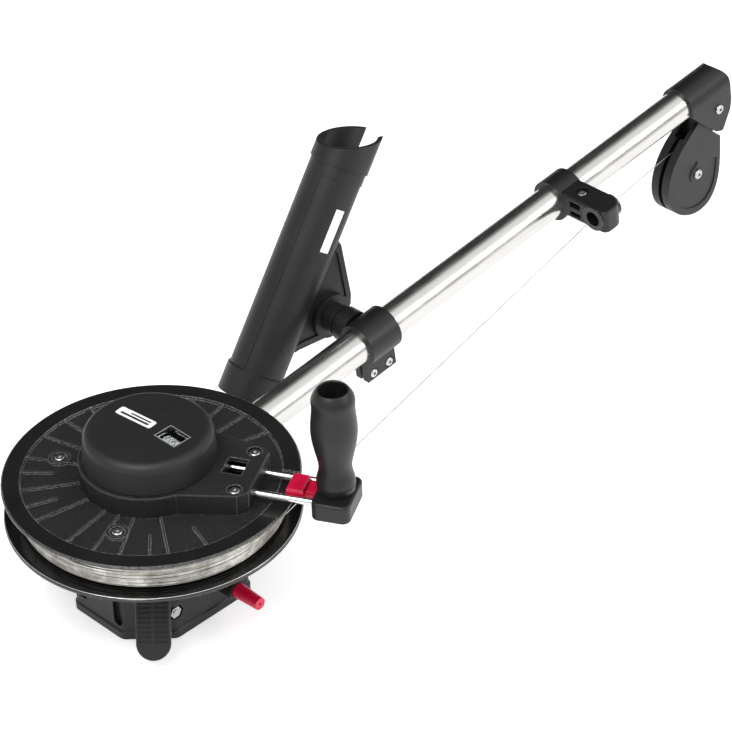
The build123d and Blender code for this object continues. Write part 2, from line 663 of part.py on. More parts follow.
def tip_hood():
    """Hood over the boom's end; its two cheeks straddle the pulley's head."""
    arch = Pos(0, 0, 758.5) * Cylinder(18.9, 59) + swap_boom(block(729, 788, -18.9, 18.9, 0, 50))
    side = prism_xz(HOOD_SIDE, -25, 25)
    side = fillet(side.edges().filter_by(Axis.Y).filter_by(lambda e: e.center().X > 780 and e.center().Z < 0), 14)
    side = fillet(side.edges().filter_by(Axis.Y).filter_by(lambda e: e.center().Z > 24), 3)
    body = arch & swap_boom(side)
    body -= Pos(0, 0, 720) * Cylinder(BOOM_R, 26)
    body -= swap_boom(block(738, 800, -14.9, 14.9, -8, 60))
    body -= swap_boom(along_y(4.0, -30, 30, PIVOT_S, PIVOT_DROP))
    return BOOM.location * body


def swap_boom(shape):
    """Turns a shape drawn as (distance along, towards the far side, down) into the boom's own axes."""
    frame = Plane(origin=(0, 0, 0), x_dir=(0, 0, 1), z_dir=(0, 1, 0))
    return frame.location * shape


def pivot_point():
    p = boom_point(PIVOT_S, 0, PIVOT_DROP)
    return p.X, p.Z


def pulley_pivot_bolt():
    x, z = pivot_point()
    shank = along_y(4.0, BOOM_Y - 18.9, BOOM_Y + 18.9, x, z)
    near = Pos(x, BOOM_Y - 18.9, z) * (Rot(90, 0, 0) * pan_screw(5.0, 2.6, 4.0, 1))
    far = Pos(x, BOOM_Y + 18.9, z) * (Rot(-90, 0, 0) * pan_screw(5.0, 2.6, 4.0, 1))
    return shank + near + far


CHEEK_TOP = [(-32.5, 33), (-17, 56), (25, 37), (31, 20)]
CHEEK_CURVE = [(31, 20), (36, 2), (37.5, -16), (32, -33), (17, -43), (-4, -44), (-24, -37), (-38, -22), (-43, -3),
               (-40.5, 16), (-32.5, 33)]


def cheek_outline(scale=1.0):
    top = Polyline(*[(x * scale, 0, z * scale) for x, z in CHEEK_TOP])
    curve = Spline(*[(x * scale, 0, z * scale) for x, z in CHEEK_CURVE])
    return make_face([*top.edges(), curve])


def pulley_axes():
    """The pulley block's own axes: local z runs from the sheave's axle to the pivot."""
    px, pz = pivot_point()
    lean = degrees(atan2(px - SHEAVE_X, pz - SHEAVE_Z))
    reach = hypot(px - SHEAVE_X, pz - SHEAVE_Z)
    return Pos(SHEAVE_X, BOOM_Y, SHEAVE_Z) * Rot(0, lean, 0), reach


def pulley_cheek(side):
    """Thick cheek; its inner face is hollowed for the sheave and its lip keeps the line on."""
    axes, reach = pulley_axes()
    y0, y1 = sorted((side * SLOT_HALF, side * CHEEK_OUT))
    cheek = Pos(0, y0, 0) * extrude(cheek_outline(), y1 - y0, dir=(0, 1, 0))
    panel = Pos(0, side * (CHEEK_OUT + 1) - 2, 0) * extrude(cheek_outline(0.84), 4, dir=(0, 1, 0))
    panel = panel & block(-60, 60, -30, 30, -60, 14)
    cheek -= panel - along_y(10, -30, 30, 0, 0) - block(-4, 12, -30, 30, 0, 20)
    recess = sorted((side * (SLOT_HALF - 1), side * (SHEAVE_HALF + 0.6)))
    cheek -= along_y(SHEAVE_R + 1.2, *recess, 0, 0)
    cheek -= block(-40, 40, *recess, 38, 60)
    return axes * (cheek - along_y(3.5, -20, 20, 0, 0))


def pulley_head():
    """Neck between the cheeks, up to the pivot."""
    axes, reach = pulley_axes()
    width = SHEAVE_HALF + 0.6
    neck = prism_xz([(-14, 40), (18, 40), (12.5, reach), (-12.5, reach)], -width, width)
    neck += along_y(12.5, -width, width, 0, reach)
    return axes * (neck - along_y(4.0 + RUN, -20, 20, 0, reach))


def sheave():
    half = SHEAVE_HALF
    outline = [(6.0, -half), (SHEAVE_R, -half), (SHEAVE_R, -4.2), (GROOVE_R, -0.9), (GROOVE_R, 0.9), (SHEAVE_R, 4.2),
               (SHEAVE_R, half), (6.0, half)]
    wheel = turned(outline)
    return Pos(SHEAVE_X, BOOM_Y, SHEAVE_Z) * (Rot(90, 0, 0) * wheel)


def sheave_bush():
    body = along_y(6.0, BOOM_Y - SHEAVE_HALF, BOOM_Y + SHEAVE_HALF, SHEAVE_X, SHEAVE_Z)
    return body - along_y(3.5 + RUN, 0, 100, SHEAVE_X, SHEAVE_Z)


def sheave_axle():
    shank = along_y(3.5, BOOM_Y - 11.0, BOOM_Y + 11.0, SHEAVE_X, SHEAVE_Z)
    near = Pos(SHEAVE_X, BOOM_Y - 11.0, SHEAVE_Z) * (Rot(90, 0, 0) * pan_screw(5.2, 3.0, 3.5, 1))
    far = Pos(SHEAVE_X, BOOM_Y + 11.0, SHEAVE_Z) * (Rot(-90, 0, 0) * pan_screw(5.2, 3.0, 3.5, 1))
    return shank + near + far


# ---------------------------------------------------------------- line
def wire_route():
    """Corners of the route: spool tangent, wire eye, slot between the cheeks, and over the sheave's groove."""
    eye_x, eye_y, eye_z = WIRE_EYE
    radius = WIRE_PACK_R + 0.8
    start_at = atan2(eye_y, eye_x) - acos(radius / hypot(eye_x, eye_y))
    start = (radius * cos(start_at), radius * sin(start_at), WIRE_Z)
    px, pz = pivot_point()
    lap = GROOVE_R + WIRE_R + 0.3
    end_at = atan2(pz - SHEAVE_Z, px - SHEAVE_X)
    end = (SHEAVE_X + lap * cos(end_at), BOOM_Y, SHEAVE_Z + lap * sin(end_at))
    corner = (end[0] - 5.0 * sin(end_at), BOOM_Y, end[2] + 5.0 * cos(end_at))
    slot = (713.0, 39.0, eye_z + (corner[2] - eye_z) * (713.0 - eye_x) / (corner[0] - eye_x))
    return start, WIRE_EYE, slot, corner, end


def line_wire():
    path = FilletPolyline(*wire_route(), radius=28)
    section = Plane(origin=path @ 0, z_dir=path % 0) * Circle(WIRE_R)
    return sweep(section, path=path)


# ---------------------------------------------------------------- nodes
NODES = {
    "main_frame": main_frame,
    "mounting_plate": mounting_plate,
    "spool_shaft": spool_shaft,
    "shaft_nut": shaft_nut,
    "thrust_washer": thrust_washer,
    "cross_bolt": cross_bolt,
    "brake_lever": brake_lever,
    "brake_pad": brake_pad,
    "lever_pin": lever_pin,
    "lock_pin": lock_pin,
    "spool_drum": spool_drum,
    "lower_flange": lower_flange,
    "wire_pack": wire_pack,
    "spool_bushes": spool_bushes,
    "brake_ring": brake_ring,
    "clutch_lining": clutch_lining,
    "crank_disc": crank_disc,
    "disc_screws": disc_screws,
    "arm_housing": arm_housing,
    "arm_screws": arm_screws,
    "crank_sleeve": crank_sleeve,
    "drive_gear": drive_gear,
    "counter_pinion": counter_pinion,
    "handle_rods": handle_rods,
    "handle_bracket": handle_bracket,
    "handle_latch": handle_latch,
    "handle_grip": grip_sleeve,
    "grip_bolt": grip_bolt,
    "counter_dome": counter_dome,
    "window_lens": window_lens,
    "counter_axle": counter_axle,
    "units_wheel": lambda: digit_wheel(2),
    "tens_wheel": lambda: digit_wheel(1),
    "hundreds_wheel": lambda: digit_wheel(0),
    "counter_chassis": counter_chassis,
    "boom_tube": boom_tube,
    "boom_bolts": boom_bolts,
    "rod_holder_clamp": rod_holder_clamp,
    "clamp_screws": clamp_screws,
    "rod_holder": rod_holder,
    "hub_bolt": hub_bolt,
    "line_guide": line_guide,
    "guide_eye_ring": guide_eye_ring,
    "guide_screw": guide_screw,
    "wire_eye": wire_eye,
    "tip_hood": tip_hood,
    "pulley_pivot_bolt": pulley_pivot_bolt,
    "pulley_cheek_near": lambda: pulley_cheek(-1),
    "pulley_cheek_far": lambda: pulley_cheek(1),
    "pulley_head": pulley_head,
    "sheave": sheave,
    "sheave_bush": sheave_bush,
    "sheave_axle": sheave_axle,
    "line_wire": line_wire,
}

os.makedirs("parts", exist_ok=True)
for name, make in NODES.items():
    shape = make()
    if isinstance(shape, list):
        shape = Compound(children=shape)
    export_step(shape, f"parts/{name}.step")
    print(name, round(shape.volume, 1))
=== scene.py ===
import json
import math
import random

import bmesh
import bpy
from mathutils import Matrix, Vector


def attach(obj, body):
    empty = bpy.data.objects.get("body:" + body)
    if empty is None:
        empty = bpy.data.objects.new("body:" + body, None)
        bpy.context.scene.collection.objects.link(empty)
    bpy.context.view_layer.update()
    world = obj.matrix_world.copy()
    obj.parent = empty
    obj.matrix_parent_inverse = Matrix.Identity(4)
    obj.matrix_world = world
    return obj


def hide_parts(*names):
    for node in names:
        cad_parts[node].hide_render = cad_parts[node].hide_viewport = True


# Looks of the trolling reel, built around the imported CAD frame. Metres, in the row frame:
# +X outboard along the boom, +Y left of the boom, +Z up along the spool axis, origin on the deck.

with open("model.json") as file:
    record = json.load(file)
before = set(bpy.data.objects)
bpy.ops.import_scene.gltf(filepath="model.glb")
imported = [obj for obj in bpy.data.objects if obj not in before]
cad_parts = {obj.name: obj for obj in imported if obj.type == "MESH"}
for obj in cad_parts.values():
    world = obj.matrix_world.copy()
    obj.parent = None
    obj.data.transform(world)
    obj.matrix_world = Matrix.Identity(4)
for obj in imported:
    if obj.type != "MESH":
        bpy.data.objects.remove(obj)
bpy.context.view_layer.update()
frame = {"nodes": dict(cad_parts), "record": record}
nodes = frame["nodes"]
random.seed(7)

MM = 0.001
DECK = -0.0002                     # the floor lies just under the deck face

# CAD dimensions that the added pieces follow, in millimetres
PACK_LOW, PACK_TURNS, PACK_PITCH = 97.4, 29, 0.93
PACK_R = 111.2                     # wire centres in the level under-layer
LOOSE_R, LOOSE_LOW, LOOSE_TURNS, LOOSE_PITCH = 111.75, 101, 22, 0.87
WIRE_R = 0.52
BEAD_R, BEAD_Z, BEAD_LINE_R = 124.7, 97.35, 0.32
DOME_TOP = 176.0
WINDOW = (-2.6, 14.6, -35.2, -12.4)
WINDOW_LINE = 0.9
WHEEL_AT, WHEEL_FACE, FIGURE_SIZE = (6.0, 161.2), 8.64, 5.6
HOLDER_HUB = (0.298038, 0.112, 0.094802)   # hub axis at the middle of the holder's tube, in metres
HOLDER_TILT, TUBE_OFF = 56.2, 44.4
HOLDER_LABEL_R = (25.45, 25.75)
HOLDER_LABEL_X = (56.5, 97.5)
HOLDER_LABEL_FROM, HOLDER_LABEL_ARC = -21, 21   # degrees round the tube


# ------------------------------------------------------------------ node helpers
def new_material(name):
    """A material with an empty tree but for its output and one Principled shader."""
    mat = bpy.data.materials.new(name)
    mat.use_nodes = True
    tree = mat.node_tree
    tree.nodes.clear()
    out = tree.nodes.new("ShaderNodeOutputMaterial")
    bsdf = tree.nodes.new("ShaderNodeBsdfPrincipled")
    tree.links.new(bsdf.outputs["BSDF"], out.inputs["Surface"])
    return mat, tree, bsdf


def object_coords(tree, scale=(1, 1, 1)):
    coords = tree.nodes.new("ShaderNodeTexCoord")
    mapping = tree.nodes.new("ShaderNodeMapping")
    mapping.inputs["Scale"].default_value = scale
    tree.links.new(coords.outputs["Object"], mapping.inputs["Vector"])
    return mapping.outputs["Vector"]


def noise_node(tree, vector, scale, detail=2.0, rough=0.5):
    node = tree.nodes.new("ShaderNodeTexNoise")
    node.inputs["Scale"].default_value = scale
    node.inputs["Detail"].default_value = detail
    node.inputs["Roughness"].default_value = rough
    tree.links.new(vector, node.inputs["Vector"])
    return node.outputs["Fac"]


def ramp_node(tree, value, stops):
    """Colour ramp with (position, colour) stops."""
    node = tree.nodes.new("ShaderNodeValToRGB")
    ramp = node.color_ramp
    while len(ramp.elements) < len(stops):
        ramp.elements.new(0.5)
    for element, (position, colour) in zip(ramp.elements, stops):
        element.position = position
        element.color = (*colour, 1)
    tree.links.new(value, node.inputs["Fac"])
    return node.outputs["Color"]


def range_node(tree, value, low, high, out_low, out_high):
    node = tree.nodes.new("ShaderNodeMapRange")
    for name, number in zip(("From Min", "From Max", "To Min", "To Max"), (low, high, out_low, out_high)):
        node.inputs[name].default_value = number
    tree.links.new(value, node.inputs["Value"])
    return node.outputs["Result"]


def bump_node(tree, height, strength, distance, normal=None):
    node = tree.nodes.new("ShaderNodeBump")
    node.inputs["Strength"].default_value = strength
    node.inputs["Distance"].default_value = distance
    tree.links.new(height, node.inputs["Height"])
    if normal:
        tree.links.new(normal, node.inputs["Normal"])
    return node.outputs["Normal"]


def rounded_edges(tree, radius):
    """Shading normal that softens the sharp edges of moulded parts."""
    node = tree.nodes.new("ShaderNodeBevel")
    node.samples = 4
    node.inputs["Radius"].default_value = radius
    return node.outputs["Normal"]


def math_node(tree, operation, first, second):
    """Math node on two values; each is a socket or a number."""
    node = tree.nodes.new("ShaderNodeMath")
    node.operation = operation
    for socket, value in zip(node.inputs, (first, second)):
        if isinstance(value, (int, float)):
            socket.default_value = value
        else:
            tree.links.new(value, socket)
    return node.outputs["Value"]


def mix_colours(tree, factor, first, second):
    """Mix of two colour sockets, or of a socket and a fixed colour."""
    node = tree.nodes.new("ShaderNodeMix")
    node.data_type = "RGBA"
    tree.links.new(factor, node.inputs["Factor"])
    for socket, value in ((node.inputs[6], first), (node.inputs[7], second)):
        if isinstance(value, tuple):
            socket.default_value = (*value, 1)
        else:
            tree.links.new(value, socket)
    return node.outputs[2]


def edge_wear(tree, radius, noise, low, high):
    """1 on speckles along the part's edges, 0 elsewhere; the mask of the painted edge highlight."""
    soft = rounded_edges(tree, radius)
    hard = tree.nodes.new("ShaderNodeNewGeometry").outputs["Normal"]
    dot = tree.nodes.new("ShaderNodeVectorMath")
    dot.operation = "DOT_PRODUCT"
    tree.links.new(soft, dot.inputs[0])
    tree.links.new(hard, dot.inputs[1])
    edge = range_node(tree, dot.outputs["Value"], 0.99, 0.86, 0.0, 1.0)
    speckle = range_node(tree, noise, low, high, 0.0, 1.0)
    return math_node(tree, "MULTIPLY", edge, speckle)


# ------------------------------------------------------------------ materials
def moulded_plastic(name, dark, light, rough, grain, strength, edge=0.0006):
    """Glass-filled black plastic: fine matt grain, cloudy tone and slightly uneven gloss."""
    mat, tree, bsdf = new_material(name)
    vector = object_coords(tree)
    cloud = noise_node(tree, vector, 18, 4)
    tree.links.new(ramp_node(tree, cloud, [(0.3, dark), (0.7, light)]), bsdf.inputs["Base Color"])
    fine = noise_node(tree, vector, grain, 3, 0.6)
    tree.links.new(range_node(tree, fine, 0.3, 0.7, rough - 0.06, rough + 0.06), bsdf.inputs["Roughness"])
    normal = bump_node(tree, fine, strength, 0.0004, rounded_edges(tree, edge))
    tree.links.new(normal, bsdf.inputs["Normal"])
    bsdf.inputs["Specular IOR Level"].default_value = 0.34
    return mat


def disc_plastic(name, dark, light, rough):
    """Glossy black of the crank disc and the arm: smooth rim, grain inside it, and a painted highlight of
    light grey speckles along the edges.
    """
    mat, tree, bsdf = new_material(name)
    vector = object_coords(tree)
    flat = object_coords(tree, (1, 1, 0))
    length = tree.nodes.new("ShaderNodeVectorMath")
    length.operation = "LENGTH"
    tree.links.new(flat, length.inputs[0])
    field = range_node(tree, length.outputs["Value"], 0.1080, 0.1092, 1.0, 0.0)
    cloud = noise_node(tree, vector, 30, 4)
    speckle = noise_node(tree, vector, 700, 2, 0.7)
    body = ramp_node(tree, cloud, [(0.3, dark), (0.75, light)])
    # Painted highlight: light grey base colour speckled along the moulded edges, standing in for the light
    # they catch.
    painted_highlight = edge_wear(tree, 0.0011, speckle, 0.40, 0.56)
    tree.links.new(mix_colours(tree, painted_highlight, body, (0.42, 0.42, 0.41)), bsdf.inputs["Base Color"])
    grain = math_node(tree, "MULTIPLY", noise_node(tree, vector, 620, 3, 0.75), field)
    tree.links.new(range_node(tree, field, 0, 1, rough + 0.03, rough), bsdf.inputs["Roughness"])
    tree.links.new(bump_node(tree, grain, 0.9, 0.0012, rounded_edges(tree, 0.0006)), bsdf.inputs["Normal"])
    return mat


def polished_metal(name, colour, rough, streak=(1, 1, 1), strength=0.05):
    """Bright drawn steel: faint streaks along the drawing direction."""
    mat, tree, bsdf = new_material(name)
    vector = object_coords(tree, streak)
    lines = noise_node(tree, vector, 300, 4, 0.6)
    tint = [(0.25, tuple(c * 0.9 for c in colour)), (0.75, colour)]
    tree.links.new(ramp_node(tree, lines, tint), bsdf.inputs["Base Color"])
    tree.links.new(range_node(tree, lines, 0.3, 0.7, rough * 0.75, rough * 1.25), bsdf.inputs["Roughness"])
    tree.links.new(bump_node(tree, lines, strength, 0.0001), bsdf.inputs["Normal"])
    bsdf.inputs["Metallic"].default_value = 1.0
    return mat


def gloss_black():
    """Polished black lacquer of the lower flange."""
    mat, tree, bsdf = new_material("gloss_black")
    vector = object_coords(tree)
    cloud = noise_node(tree, vector, 25, 3)
    tree.links.new(ramp_node(tree, cloud, [(0.3, (0.004, 0.004, 0.004)), (0.7, (0.008, 0.008, 0.008))]),
                   bsdf.inputs["Base Color"])
    tree.links.new(range_node(tree, cloud, 0.3, 0.7, 0.13, 0.2), bsdf.inputs["Roughness"])
    tree.links.new(bump_node(tree, noise_node(tree, vector, 60, 2), 0.05, 0.0004), bsdf.inputs["Normal"])
    return mat


def wound_wire():
    """Stranded steel wire: bright twisted strands with darker gaps."""
    mat, tree, bsdf = new_material("wound_wire")
    vector = object_coords(tree)
    tone = noise_node(tree, vector, 90, 4, 0.7)
    tree.links.new(ramp_node(tree, tone, [(0.3, (0.30, 0.28, 0.25)), (0.7, (0.78, 0.76, 0.72))]),
                   bsdf.inputs["Base Color"])
    tree.links.new(range_node(tree, tone, 0.3, 0.7, 0.42, 0.28), bsdf.inputs["Roughness"])
    tree.links.new(bump_node(tree, noise_node(tree, vector, 1500, 2), 0.3, 0.0002), bsdf.inputs["Normal"])
    bsdf.inputs["Metallic"].default_value = 1.0
    return mat


def red_plastic():
    mat, tree, bsdf = new_material("red_plastic")
    vector = object_coords(tree)
    cloud = noise_node(tree, vector, 60, 3)
    tree.links.new(ramp_node(tree, cloud, [(0.3, (0.42, 0.0, 0.025)), (0.7, (0.55, 0.002, 0.04))]),
                   bsdf.inputs["Base Color"])
    fine = noise_node(tree, vector, 900, 2)
    tree.links.new(range_node(tree, fine, 0.3, 0.7, 0.3, 0.42), bsdf.inputs["Roughness"])
    tree.links.new(bump_node(tree, fine, 0.12, 0.0002, rounded_edges(tree, 0.0006)), bsdf.inputs["Normal"])
    return mat


def plain(name, low, high, rough, metallic=0.0, scale=80):
    """Small inner parts: a quiet two-tone surface with a little grain."""
    mat, tree, bsdf = new_material(name)
    vector = object_coords(tree)
    cloud = noise_node(tree, vector, scale, 3)
    tree.links.new(ramp_node(tree, cloud, [(0.3, low), (0.7, high)]), bsdf.inputs["Base Color"])
    tree.links.new(range_node(tree, cloud, 0.3, 0.7, rough - 0.05, rough + 0.05), bsdf.inputs["Roughness"])
    grain = noise_node(tree, vector, scale * 8, 2)
    tree.links.new(bump_node(tree, grain, 0.1, 0.0002), bsdf.inputs["Normal"])
    bsdf.inputs["Metallic"].default_value = metallic
    return mat


def lens():
    mat, tree, bsdf = new_material("clear_lens")
    vector = object_coords(tree)
    haze = noise_node(tree, vector, 40, 2)
    tree.links.new(range_node(tree, haze, 0.3, 0.7, 0.03, 0.08), bsdf.inputs["Roughness"])
    bsdf.inputs["Base Color"].default_value = (0.9, 0.92, 0.94, 1)
    bsdf.inputs["Transmission Weight"].default_value = 1.0
    bsdf.inputs["IOR"].default_value = 1.3
    return mat


MATERIALS = {
    "body_plastic": moulded_plastic(
        "body_plastic", (0.005, 0.005, 0.0053), (0.010, 0.010, 0.0104), 0.42, 900, 0.25),
    "holder_plastic": moulded_plastic(
        "holder_plastic", (0.006, 0.006, 0.0063), (0.011, 0.011, 0.0114), 0.44, 1100, 0.3),
    "dome_plastic": moulded_plastic(
        "dome_plastic", (0.009, 0.009, 0.0094), (0.014, 0.014, 0.0144), 0.48, 1400, 0.2),
    "disc_plastic": disc_plastic("disc_plastic", (0.0035, 0.0035, 0.0038), (0.008, 0.008, 0.0085), 0.36),
    "arm_plastic": disc_plastic("arm_plastic", (0.004, 0.004, 0.0045), (0.009, 0.009, 0.0095), 0.34),
    "gloss_black": gloss_black(),
    "boom_steel": polished_metal("boom_steel", (0.60, 0.59, 0.57), 0.24, (0.08, 1, 1), 0.22),
    "rod_steel": polished_metal("rod_steel", (0.68, 0.67, 0.65), 0.16),
    "screw_steel": polished_metal("screw_steel", (0.50, 0.50, 0.49), 0.28),
    "wound_wire": wound_wire(),
    "red_plastic": red_plastic(),
    "bronze": plain("bronze", (0.35, 0.22, 0.09), (0.48, 0.32, 0.14), 0.4, 1.0),
    "lining": plain("lining", (0.03, 0.025, 0.02), (0.06, 0.05, 0.04), 0.8),
    "nylon": plain("nylon", (0.6, 0.6, 0.57), (0.72, 0.72, 0.69), 0.45),
    "label_white": plain("label_white", (0.72, 0.72, 0.71), (0.80, 0.80, 0.79), 0.35),
    "label_black": plain("label_black", (0.01, 0.01, 0.01), (0.02, 0.02, 0.02), 0.4),
    "clear_lens": lens(),
}

SLOT_LOOK = {
    "black_plastic": "body_plastic",
    "counter_black": "dome_plastic",
    "gloss_black": "gloss_black",
    "steel_wire": "wound_wire",
    "polished_steel": "rod_steel",
    "fastener_steel": "screw_steel",
    "red_plastic": "red_plastic",
    "clear_lens": "clear_lens",
    "digit_white": "nylon",
    "bronze": "bronze",
    "lining": "lining",
}
NODE_LOOK = {
    "crank_disc": "disc_plastic",
    "arm_housing": "arm_plastic",
    "boom_tube": "boom_steel",
    "rod_holder": "holder_plastic",
}

for part in frame["record"]["subparts"]:
    look = NODE_LOOK.get(part["node"], SLOT_LOOK[part["material_slot"]])
    mesh = nodes[part["node"]].data
    mesh.materials.clear()
    mesh.materials.append(MATERIALS[look])


# ------------------------------------------------------------------ added pieces
def add_mesh(name, verts, faces, look, body, smooth=False):
    """New piece that rides on a body, from vertices in metres."""
    mesh = bpy.data.meshes.new(name)
    bm = bmesh.new()
    corners = [bm.verts.new(v) for v in verts]
    for face in faces:
        bm.faces.new([corners[i] for i in face])
    bmesh.ops.recalc_face_normals(bm, faces=bm.faces)
    bm.to_mesh(mesh)
    bm.free()
    for polygon in mesh.polygons:
        polygon.use_smooth = smooth
    mesh.materials.append(MATERIALS[look])
    piece = bpy.data.objects.new(name, mesh)
    bpy.context.scene.collection.objects.link(piece)
    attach(piece, body)
    return piece


def tube_mesh(paths, radius, sides=5):
    """Vertices and faces of closed round tubes that follow the given loops of points."""
    verts, faces = [], []
    for path in paths:
        base, count = len(verts), len(path)
        for i, point in enumerate(path):
            along = (path[(i + 1) % count] - path[i - 1]).normalized()
            out = along.cross(Vector((0, 0, 1))).normalized()
            up = out.cross(along)
            for k in range(sides):
                turn = math.tau * k / sides
                verts.append(point + radius * (math.cos(turn) * out + math.sin(turn) * up))
        for i in range(count):
            for k in range(sides):
                a, b = i * sides + k, i * sides + (k + 1) % sides
                c, d = (b + sides) % (count * sides), (a + sides) % (count * sides)
                faces.append([base + n for n in (a, b, c, d)])
    return verts, faces


def wire_turn(low, high, radius, steps=144):
    """One turn of wire that wanders between two heights."""
    phases = [random.uniform(0, math.tau) for _ in range(4)]
    points = []
    for i in range(steps):
        turn = math.tau * i / steps
        wander = 0.5 + 0.30 * math.sin(turn + phases[0]) + 0.14 * math.sin(2 * turn + phases[1])
        wander += 0.06 * math.sin(5 * turn + phases[2])
        bulge = 0.25 * MM * math.sin(3 * turn + phases[3])
        points.append(Vector(((radius + bulge) * math.cos(turn), (radius + bulge) * math.sin(turn),
                              low + (high - low) * wander)))
    return points


def wound_turns():
    """Wire on the drum: a level under-layer and a loose outer layer whose turns cross one another."""
    paths = []
    for i in range(PACK_TURNS):
        level = (PACK_LOW + PACK_PITCH * i) * MM
        edge = min(i, PACK_TURNS - 1 - i)
        radius = (PACK_R if edge > 2 else PACK_R - 2.0 + 0.8 * edge) * MM
        paths.append(wire_turn(level - 0.5 * MM, level + 0.5 * MM, radius))
    for i in range(LOOSE_TURNS):
        middle = (LOOSE_LOW + LOOSE_PITCH * i) * MM
        spread = random.uniform(1.0, 3.2) * MM
        radius = LOOSE_R * MM + random.uniform(-0.2, 0.2) * MM
        paths.append(wire_turn(middle - spread, middle + spread, radius))
    verts, faces = tube_mesh(paths, WIRE_R * MM)
    turns = add_mesh("wound_turns", verts, faces, "wound_wire", "spool", smooth=True)
    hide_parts("wire_pack")


def rim_line():
    """Painted highlight: a thin bright steel ring along the top edge of the flange's bead, standing in for
    the light on its rolled edge.
    """
    steps = 240
    turns = [math.tau * i / steps for i in range(steps)]
    loop = [Vector((BEAD_R * math.cos(turn), BEAD_R * math.sin(turn), BEAD_Z)) * MM for turn in turns]
    verts, faces = tube_mesh([loop], BEAD_LINE_R * MM)
    add_mesh("rim_line", verts, faces, "rod_steel", "spool", smooth=True)


def plate(corners, z, thickness):
    """Vertices and faces of a thin flat plate with an outline of (x, y) points in millimetres."""
    count = len(corners)
    verts = [Vector((x, y, level)) * MM for level in (z, z + thickness) for x, y in corners]
    faces = [list(range(count)), list(range(count, 2 * count))]
    faces += [[i, (i + 1) % count, count + (i + 1) % count, count + i] for i in range(count)]
    return verts, faces


def rounded_outline(origin, along, length, width, radius, steps=5):
    """Rounded rectangle from origin, its length along a direction and its width to the left of it."""
    ax = Vector(along).normalized()
    ay = Vector((-ax.y, ax.x))
    centres = [(radius, radius, 180), (length - radius, radius, 270), (length - radius, width - radius, 0),
               (radius, width - radius, 90)]
    points = []
    for cx, cy, start in centres:
        for i in range(steps + 1):
            angle = math.radians(start + 90 * i / steps)
            local = Vector((cx + radius * math.cos(angle), cy + radius * math.sin(angle)))
            points.append(tuple(Vector(origin) + ax * local.x + ay * local.y))
    return points


def dome_label():
    """Plain white label on the counter's top, with generic bars on it."""
    along = (-4.0, 38.7)
    origin = Vector((10.0, -1.0))
    verts, faces = plate(rounded_outline(origin, along, 38.5, 10.2, 2.0), DOME_TOP, 0.2)
    add_mesh("dome_label", verts, faces, "label_white", "frame")
    ax = Vector(along).normalized()
    ay = Vector((-ax.y, ax.x))
    for i, (start, end, low, high) in enumerate(((4, 34.5, 5.6, 7.8), (4, 26, 2.4, 4.0))):
        corner = origin + ax * start + ay * low
        outline = rounded_outline(corner, along, end - start, high - low, 0.6)
        verts, faces = plate(outline, DOME_TOP + 0.2, 0.1)
        add_mesh(f"dome_label_bar{i}", verts, faces, "label_black", "frame")


def window_frame():
    """Thin pale line round the counter's window."""
    x0, x1, y0, y1 = WINDOW
    edge = WINDOW_LINE
    sides = ((x0 - edge, x0, y0 - edge, y1 + edge), (x1, x1 + edge, y0 - edge, y1 + edge),
             (x0, x1, y0 - edge, y0), (x0, x1, y1, y1 + edge))
    for i, (left, right, low, high) in enumerate(sides):
        corners = [(left, low), (right, low), (right, high), (left, high)]
        verts, faces = plate(corners, DOME_TOP - 0.05, 0.2)
        add_mesh(f"window_frame{i}", verts, faces, "window_edge", "frame")


def digit_mesh(figure, size):
    """Flat outline of one figure as vertices and faces."""
    curve = bpy.data.curves.new("figure", "FONT")
    curve.body = figure
    curve.size = size
    curve.align_x = "CENTER"
    curve.align_y = "CENTER"
    curve.resolution_u = 3
    holder = bpy.data.objects.new("figure", curve)
    mesh = holder.to_mesh()
    verts = [v.co.copy() for v in mesh.vertices]
    faces = [list(p.vertices) for p in mesh.polygons]
    holder.to_mesh_clear()
    bpy.data.objects.remove(holder)
    bpy.data.curves.remove(curve)
    return verts, faces


def wheel_figures(body, y_mid, shown):
    """Figures 0 to 9 round a counter wheel; the shown one faces up at rest."""
    verts, faces = [], []
    for n in range(10):
        flat, cells = digit_mesh(str(n), FIGURE_SIZE * MM)
        turn = Matrix.Rotation(math.tau * (n - shown) / 10, 4, "Y")
        upright = Matrix.Rotation(math.radians(-90), 4, "Z")
        centre = Matrix.Translation((WHEEL_AT[0] * MM, y_mid, WHEEL_AT[1] * MM))
        place = centre @ turn @ Matrix.Translation((0, 0, WHEEL_FACE * MM)) @ upright
        base = len(verts)
        verts += [place @ v for v in flat]
        faces += [[base + i for i in cell] for cell in cells]
    add_mesh(f"figures_{body}", verts, faces, "label_black", body)


def holder_label():
    """Small white label wrapped on the near side of the rod holder's tube."""
    tilt = math.radians(HOLDER_TILT)
    up = Vector((math.cos(tilt), 0, math.sin(tilt)))
    side = Vector((math.sin(tilt), 0, -math.cos(tilt)))
    axis = Vector(HOLDER_HUB) - side * TUBE_OFF * MM
    verts, faces = [], []
    steps = 8
    for radius in HOLDER_LABEL_R:
        for x in HOLDER_LABEL_X:
            for i in range(steps + 1):
                angle = math.radians(HOLDER_LABEL_FROM + HOLDER_LABEL_ARC * i / steps)
                out = side * math.sin(angle) - Vector((0, math.cos(angle), 0))
                verts.append(axis + up * x * MM + out * radius * MM)
    row = steps + 1
    for i in range(steps):
        faces.append([i, i + 1, row + i + 1, row + i])
        faces.append([2 * row + i, 2 * row + i + 1, 3 * row + i + 1, 3 * row + i])
        faces.append([i, i + 1, 2 * row + i + 1, 2 * row + i])
        faces.append([row + i, row + i + 1, 3 * row + i + 1, 3 * row + i])
    for i in (0, steps):
        faces.append([i, row + i, 3 * row + i, 2 * row + i])
    add_mesh("holder_label", verts, faces, "label_white", "holder")


MATERIALS["window_edge"] = plain("window_edge", (0.16, 0.16, 0.16), (0.3, 0.3, 0.29), 0.4)
wound_turns()
